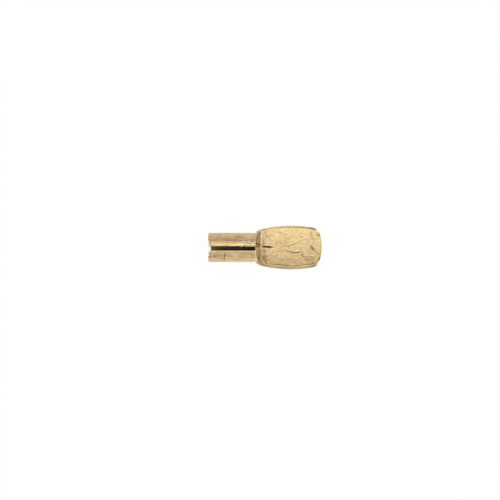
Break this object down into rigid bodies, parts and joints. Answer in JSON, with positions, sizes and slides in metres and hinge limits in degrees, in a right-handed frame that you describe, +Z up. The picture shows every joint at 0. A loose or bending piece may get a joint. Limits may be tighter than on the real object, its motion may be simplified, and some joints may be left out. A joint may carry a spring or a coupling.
{
  "type": "shelf support pin",
  "caption": "Spoon-shaped shelf support of brass-plated sheet: a split tubular shank pushes into a cabinet hole and a flattened two-layer paddle carries the shelf.",
  "frame": {"origin": "On the shank's axis at the neck, where the round of the shank ends", "axes": "+X along the shank's axis toward the paddle's tip, +Z up out of the paddle's seam side, +Y completes the right-handed frame"},
  "size_m": [0.0247, 0.0096, 0.0064],
  "materials": {
    "brass_plate": "worn satin brass plating with rolling streaks"
  },
  "bodies": {
    "root": {"shelf_pin": "brass_plate"}
  },
  "joints": []
}
